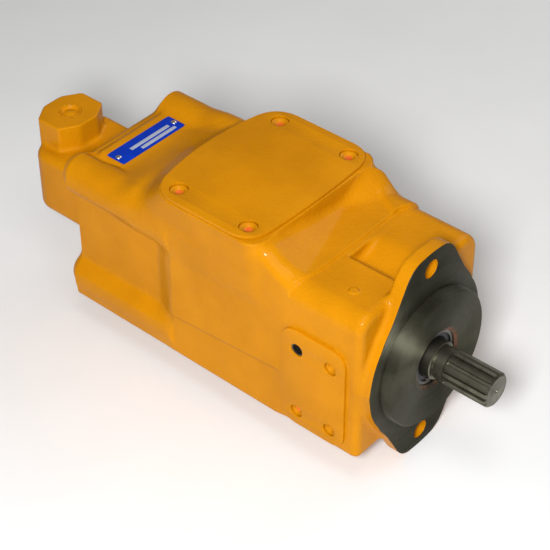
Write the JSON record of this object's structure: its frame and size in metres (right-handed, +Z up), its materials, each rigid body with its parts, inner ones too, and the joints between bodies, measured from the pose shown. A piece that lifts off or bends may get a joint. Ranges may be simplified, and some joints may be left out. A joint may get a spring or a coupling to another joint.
{
  "type": "axial piston pump",
  "caption": "Axial piston pump in a painted cast case, with a splined shaft, two-bolt mounting flange, blanked inlet and outlet ports and a pressure compensator.",
  "frame": {"origin": "centre of the mounting flange's front face, on the shaft axis", "axes": "+X along the shaft, out of the drive end; +Z up through the large inlet port; the outlet port faces -Y"},
  "size_m": [0.5168, 0.165, 0.214],
  "materials": {
    "yellow_enamel": "glossy enamel over a casting",
    "machined_iron": "turned, bare and lightly oiled",
    "shaft_steel": "turned and hobbed",
    "ground_steel": "ground",
    "spring_steel": "oiled",
    "bronze": "machined",
    "seal_rubber": "matt",
    "blue_plate": "printed aluminium",
    "rivet_aluminium": "satin"
  },
  "bodies": {
    "housing": {"front_housing": "yellow_enamel", "main_housing": "yellow_enamel", "rear_cover": "yellow_enamel", "inlet_cover_plate": "yellow_enamel", "outlet_cover_plate": "yellow_enamel", "inlet_plate_screws": "yellow_enamel", "outlet_plate_screws": "yellow_enamel", "nameplate": "blue_plate", "nameplate_rivets": "rivet_aluminium", "tie_bolts": "yellow_enamel", "inlet_plate_seal": "seal_rubber", "case_joint_seal": "seal_rubber", "rear_port_plug": "yellow_enamel", "shaft_seal": "seal_rubber", "seal_retaining_ring": "spring_steel", "valve_plate": "bronze", "valve_plate_pins": "shaft_steel", "saddle_bearings": "bronze", "control_sleeve": "ground_steel", "bias_guide": "shaft_steel", "bias_spring": "spring_steel", "compensator_spring": "spring_steel", "compensator_plug": "shaft_steel", "adjuster_locknut": "shaft_steel", "front_bearing_outer_race": "ground_steel", "rear_bearing_outer_race": "ground_steel"},
    "rotating_group": {"drive_shaft": "shaft_steel", "cylinder_block": "machined_iron", "pistons": "ground_steel", "slippers": "bronze", "retainer_plate": "shaft_steel", "ball_guide": "shaft_steel", "block_spring": "spring_steel", "spring_washer": "shaft_steel", "front_bearing_inner_race": "ground_steel", "rear_bearing_inner_race": "ground_steel"},
    "front_bearing_set": {"front_bearing_rollers": "ground_steel", "front_bearing_cage": "bronze"},
    "rear_bearing_set": {"rear_bearing_rollers": "ground_steel", "rear_bearing_cage": "bronze"},
    "swash": {"swash_plate": "machined_iron", "wear_plate": "shaft_steel"},
    "control": {"control_piston": "ground_steel"},
    "bias": {"bias_piston": "shaft_steel"},
    "spool": {"compensator_spool": "ground_steel", "spring_seat": "shaft_steel"},
    "adjuster": {"adjuster_screw": "shaft_steel"}
  },
  "joints": [
    {"name": "shaft_spin", "type": "hinge", "parent": "housing", "child": "rotating_group", "pos_m": [0, 0, 0], "axis": [1, 0, 0], "continuous": true},
    {"name": "front_bearing_spin", "type": "hinge", "parent": "housing", "child": "front_bearing_set", "pos_m": [-0.014, 0, 0], "axis": [1, 0, 0], "continuous": true},
    {"name": "rear_bearing_spin", "type": "hinge", "parent": "housing", "child": "rear_bearing_set", "pos_m": [-0.332, 0, 0], "axis": [1, 0, 0], "continuous": true},
    {"name": "swash_tilt", "type": "hinge", "parent": "housing", "child": "swash", "pos_m": [-0.236, 0, -0.046], "axis": [0, -1, 0], "range_deg": [0, 15]},
    {"name": "control_piston_slide", "type": "slide", "parent": "housing", "child": "control", "axis": [-1, 0, 0], "range_m": [0, 0.026]},
    {"name": "bias_piston_slide", "type": "slide", "parent": "housing", "child": "bias", "axis": [-1, 0, 0], "range_m": [0, 0.0261], "deforming": ["bias_spring"]},
    {"name": "compensator_spool_slide", "type": "slide", "parent": "housing", "child": "spool", "axis": [0, 1, 0], "range_m": [-0.0005, 0.004], "deforming": ["compensator_spring"]},
    {"name": "adjuster_turn", "type": "hinge", "parent": "housing", "child": "adjuster", "pos_m": [-0.392, 0.05, 0], "axis": [0, 1, 0], "range_deg": [-180, 180]}
  ],
  "couplings": [
    {"joint": "front_bearing_spin", "follows": "shaft_spin", "ratio": 0.46591},
    {"joint": "rear_bearing_spin", "follows": "shaft_spin", "ratio": 0.43421},
    {"joint": "control_piston_slide", "follows": "swash_tilt", "m_per_rad": 0.098931},
    {"joint": "bias_piston_slide", "follows": "swash_tilt", "m_per_rad": 0.099313}
  ]
}
